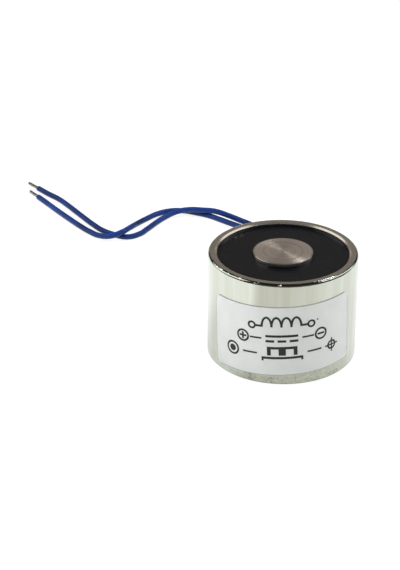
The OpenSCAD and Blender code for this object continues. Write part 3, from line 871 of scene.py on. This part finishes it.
label_print = start_piece("label_print", bpy.ops.mesh.primitive_plane_add, size=MM)
bpy.ops.object.mode_set(mode="EDIT")
bpy.ops.mesh.select_mode(type="VERT")
bpy.ops.mesh.delete(type="VERT")
for hump in range(HUMPS):
    ring((hump - (HUMPS - 1) / 2) * HUMP_PITCH, HUMP_Z, HUMP_R, HUMP_STROKE, HUMP_TALL)
    bpy.ops.mesh.bisect(plane_co=(0, 0, HUMP_Z * MM), plane_no=(0, 0, 1), clear_inner=True)
for across, up, width, tall in PAIRED_BARS:
    bar(-across, up, width, tall)
    bar(across, up, width, tall)
for shape in SINGLE_BARS:
    bar(*shape)
for shape in RINGS:
    ring(*shape)
for shape in DOTS:
    dot(*shape)
bpy.ops.object.mode_set(mode="OBJECT")
bend_round(label_print, CUP_OUT + LABEL_T + INK_GAP)
thicken(label_print, INK_T)
# Thin and thick places of the ink, about 0.3 mm
ink = grained_finish("black_screen_ink", ("0E0F10", "2B2D2F"), 0.3, (0.4, 0.6), spread=(0.3, 0.75))
dress(ink, label_print)
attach(label_print, "root")
print(label_print.name, "faces", len(label_print.data.polygons))

# %% [markdown]
# ## Rubber bush
# The leads leave the cup through a flanged rubber bush in the back wall. Moulded rubber has no sharp edge,
# so the bush is turned from a rounded outline, with a slight dish round the leads, and then laid on its
# side. Its flange goes down past the cup's round wall, which hides the rest.

# %% Bush
BUSH_R, BUSH_FLANGE_R, FLANGE_FOOT = 2.3, 3.0, 14.6
BUSH_STEPS = 48
bush = lathe("rubber_bush", [
    (0, EXIT_Y - 0.08), (1.2, EXIT_Y - 0.06), (2.0, EXIT_Y), (2.4, EXIT_Y), (2.75, EXIT_Y - 0.07),
    (2.93, EXIT_Y - 0.22), (BUSH_FLANGE_R, EXIT_Y - 0.45), (BUSH_FLANGE_R, FLANGE_FOOT),
    (BUSH_R, FLANGE_FOOT), (BUSH_R, CUP_IN), (0, CUP_IN),
], BUSH_STEPS)
bush.rotation_euler = (-math.pi / 2, 0, 0)
bush.location = (0, 0, EXIT_Z * MM)
only(bush)
bpy.ops.object.transform_apply()
# A dusty, matt skin
rubber = grained_finish("moulded_black_rubber", ("1A1A1B", "2A2A2B"), 0.3, (0.6, 0.8), (0.1, 0.03))
dress(rubber, bush)
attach(bush, "root")
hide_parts("lead_grommet")
print(bush.name, "faces", len(bush.data.polygons))

# %% [markdown]
# ## The parts inside
# The bobbin, winding, tape, joints and sleeves are buried in the resin, but they get their real finishes
# too, for anyone who takes the model apart. Most take the grained recipe. The winding shows its turns of
# enamelled wire, which lie side by side like bands, so its pattern is a wave up the Z axis, painted darker
# between the turns as painted shade.

# %% Inner finishes
INNER_FINISHES = [
    # name, two tones, metallic, roughness range, grain in mm, nodes
    ("moulded_white_nylon", ("D6D2C2", "E4E0D2"), 0, (0.35, 0.5), 0.8, ["bobbin"]),
    ("polyester_film_tape", ("C79A1E", "DDB23A"), 0, (0.15, 0.3), 2.0, ["winding_tape"]),
    ("dull_solder", ("9C9B97", "C4C3BE"), 1, (0.3, 0.5), 0.4, ["start_joint", "finish_joint"]),
    ("shrunk_black_sleeve", ("121213", "202022"), 0, (0.4, 0.55), 0.3, ["start_sleeve", "finish_sleeve"]),
]
for name, tones, metallic, gloss_range, grain, solids in INNER_FINISHES:
    dress(grained_finish(name, tones, grain, gloss_range, (0.1, 0.03), Metallic=metallic), *solids)

# A wave repeats every pi / 10 over its scale, which here is one wire
WIRE_D = 0.25
copper, tree, coords = new_finish("enamelled_copper_wire")
turns = add_node(tree, "TexWave", {
    "Vector": coords, "Scale": math.pi / (10 * WIRE_D * MM), "Distortion": 0.3,
}, wave_type="BANDS", bands_direction="Z")
# The darker part of each band is painted shade between the turns
copper_and_groove_shade = add_node(tree, "ValToRGB", {"Fac": turns.outputs["Fac"]}, ramp=[(0.1, "6E2F14"), (0.7, "B5622F")])
bump = add_node(tree, "Bump", {"Height": turns.outputs["Fac"], "Strength": 0.8, "Distance": 0.1 * MM})
shader = add_node(tree, "BsdfPrincipled", {
    "Base Color": copper_and_groove_shade, "Metallic": 1.0, "Roughness": 0.28, "Normal": bump,
})
add_node(tree, "OutputMaterial", {"Surface": shader})
dress(copper, "winding", "start_tail", "finish_tail")
print("finish", copper.name)

# %% [markdown]
# ## The table
# The magnet stands on a white table. The camera and the metal see the table as it glows, white or nearly
# so, and it still takes a faint shadow. In the metal it is painted darker in front of the magnet than
# beside it, a painted shade. A painted soft shadow of the magnet lies to its left, and shows in the foot
# and on the label.

# %% Table
TABLE_SIZE, TABLE_DROP = 3000, 0.05
SHADOW_MIDDLE, SHADOW_NEAR, SHADOW_FAR, SHADOW_DEPTH = (-20, -3, 0), 4, 26, 0.38
floor = start_piece("studio_floor", bpy.ops.mesh.primitive_plane_add, (0, 0, -TABLE_DROP * MM),
                    size=TABLE_SIZE * MM)
white_table, tree, coords = new_finish("white_table")
on_table = add_node(tree, "SeparateXYZ", {"Vector": coords})
rays = add_node(tree, "LightPath")
seen = add_node(tree, "Math", {
    0: rays.outputs["Is Camera Ray"], 1: rays.outputs["Is Transmission Ray"],
}, operation="MAXIMUM")
shown = add_node(tree, "Math", {0: seen, 1: rays.outputs["Is Glossy Ray"]}, operation="MAXIMUM")
# Painted shade: the tone in the metal goes by the angle round the magnet, darker in front
to_front = add_node(tree, "Math", {0: on_table.outputs["Y"], 1: -1.0}, operation="MULTIPLY")
angle = add_node(tree, "Math", {0: on_table.outputs["X"], 1: to_front}, operation="ARCTAN2")
round_it = add_node(tree, "MapRange", {"Value": angle, "From Min": -math.pi, "From Max": math.pi})
front_shade_tones = add_node(tree, "ValToRGB", {"Fac": round_it}, ramp=[
    (0.375, "EFEFEF"), (0.41, "BCB7B0"), (0.53, "BFBAB3"), (0.6, "C8C6C0"), (0.72, "E2E2E2"),
])
# Painted soft shadow of the magnet, to its left, in the metal and in the light the table throws back
beside = add_node(tree, "Mapping", {"Vector": coords, "Location": -Vector(SHADOW_MIDDLE) * MM})
away = add_node(tree, "VectorMath", {0: beside}, operation="LENGTH")
shadow = add_node(tree, "MapRange", {
    "Value": away, "From Min": SHADOW_NEAR * MM, "From Max": SHADOW_FAR * MM,
    "To Min": SHADOW_DEPTH, "To Max": 0,
}, interpolation_type="SMOOTHSTEP")
dimmed = add_node(tree, "Mix", {0: shadow, 6: front_shade_tones, 7: (0.3, 0.3, 0.3, 1)}, data_type="RGBA")
glow = add_node(tree, "Mix", {
    0: rays.outputs["Is Glossy Ray"], 6: (0.86, 0.86, 0.86, 1), 7: dimmed,
}, data_type="RGBA")
paint = add_node(tree, "Mix", {0: shadow, 6: (0.8, 0.8, 0.8, 1), 7: (0, 0, 0, 1)}, data_type="RGBA")
lit = add_node(tree, "BsdfDiffuse", {"Color": paint})
faint = add_node(tree, "BsdfDiffuse", {"Color": (0.22, 0.22, 0.22, 1)})
white = add_node(tree, "Emission", {"Color": glow, "Strength": 1.0})
both = add_node(tree, "AddShader", {0: faint, 1: white})
mixed = add_node(tree, "MixShader", {0: shown, 1: lit, 2: both})
add_node(tree, "OutputMaterial", {"Surface": mixed})
dress(white_table, floor)
print("table", TABLE_SIZE, "mm wide")

# %% [markdown]
# ## The room
# A mirror shows the room that it stands in. This one is dark, which gives the plated rim its black line,
# with a grey panel behind the magnet for the flat of the rim, haze low over the table, and a dim screen on
# the camera's side for views from behind. Each is a patch of sky between soft edges, so a table lists the
# edges and a loop lays the patches over each other. The camera itself sees a pale backdrop past the table.

# %% Room
DARK, BACKDROP = (0.015, 0.015, 0.015, 1), (0.9, 0.9, 0.9, 1)
# Axis of the direction, from where to where the edge fades, and its strength before and after
ROOM_EDGES = {
    "behind": ("Y", 0.2, 0.6, 0, 1),
    "below panel's top": ("Z", 0.58, 0.74, 1, 0),
    "near the middle": ("X", 0.26, 0.4, 1, 0),
    "low": ("Z", 0.06, 0.2, 1, 0),
    "in front": ("Y", -0.62, -0.5, 1, 0),
    "above screen's foot": ("Z", 0.26, 0.34, 0, 1),
    "below screen's top": ("Z", 0.5, 0.6, 1, 0),
}
# Colour and edges of the grey panel, the haze and the dim screen
ROOM_PATCHES = [
    ((0.235, 0.2, 0.18, 1), ["behind", "below panel's top", "near the middle"]),
    ((0.35, 0.34, 0.32, 1), ["behind", "low"]),
    ((0.14, 0.135, 0.13, 1), ["in front", "above screen's foot", "below screen's top"]),
]
world = bpy.data.worlds.new("studio_room")
bpy.context.scene.world = world
world.use_nodes = True
tree = world.node_tree
tree.nodes.clear()
room = add_node(tree, "TexCoord")
direction = add_node(tree, "SeparateXYZ", {"Vector": room.outputs["Generated"]})
aside = add_node(tree, "Math", {0: direction.outputs["X"]}, operation="ABSOLUTE")
edges = {}
for name, (axis, start, end, before, after) in ROOM_EDGES.items():
    measure = aside if axis == "X" else direction.outputs[axis]
    edges[name] = add_node(tree, "MapRange", {
        "Value": measure, "From Min": start, "From Max": end, "To Min": before, "To Max": after,
    }, interpolation_type="SMOOTHSTEP")
walls = DARK
for tone, (first, *others) in ROOM_PATCHES:
    patch = edges[first]
    for name in others:
        patch = add_node(tree, "Math", {0: patch, 1: edges[name]}, operation="MULTIPLY")
    walls = add_node(tree, "Mix", {0: patch, 6: walls, 7: tone}, data_type="RGBA")
paths = add_node(tree, "LightPath")
backdrop = add_node(tree, "Mix", {
    0: paths.outputs["Is Camera Ray"], 6: walls, 7: BACKDROP,
}, data_type="RGBA")
sky = add_node(tree, "Background", {"Color": backdrop, "Strength": 1.0})
add_node(tree, "OutputWorld", {"Surface": sky})
print("room patches", len(ROOM_PATCHES))

# %% [markdown]
# ## The lamps
# One softbox hangs above, one stands on each side, and a fill lights the label from the front. They would
# leave large shapes in the mirror of the cup, so they are hidden from it. The panels and the strip are
# there for the mirror's sake: weak lamps that draw the bright lines on the rim and the fan on the pole.

# %% Lamps
LAMPS = [
    # name, one end, the other end and height in metres, watts, shown in mirrors
    ("overhead_softbox", (-0.2, 0.06, 0.55), (0.2, 0.06, 0.55), 0.4, 1.6, False),
    ("left_softbox", (-0.55, -0.25, 0.4), (-0.55, 0.05, 0.4), 0.3, 2.4, False),
    ("right_softbox", (0.55, -0.15, 0.4), (0.55, 0.15, 0.4), 0.3, 2.1, False),
    ("front_fill", (-0.4, -0.65, 0.4), (0.0, -0.65, 0.4), 0.4, 1.5, False),
    ("left_panel", (-0.37, -0.1, 0.48), (-0.5, 0.36, 0.2), 0.34, 0.7, True),
    ("right_panel", (0.37, -0.1, 0.48), (0.5, 0.36, 0.2), 0.22, 0.45, True),
    ("back_strip", (0.115, 0.38, 0.455), (0.195, 0.34, 0.455), 0.03, 0.16, True),
]
for name, start, end, tall, watts, mirrored in LAMPS:
    start, end = Vector(start), Vector(end)
    middle, along = (start + end) / 2, (end - start).normalized()
    # A lamp shines down its own -Z axis, so its Z axis points away from the magnet
    back = (middle - along * middle.dot(along)).normalized()
    aim = Matrix((along, back.cross(along), back)).transposed().to_euler()
    bpy.ops.object.light_add(type="AREA", location=middle, rotation=aim)
    lamp = bpy.context.object
    lamp.name = name
    lamp.data.shape = "RECTANGLE"
    lamp.data.size, lamp.data.size_y = (end - start).length, tall
    lamp.data.energy = watts
    lamp.visible_glossy = mirrored
    lamp.visible_camera = False
bpy.context.scene.view_settings.view_transform = "Standard"
print("lamps", len(LAMPS))
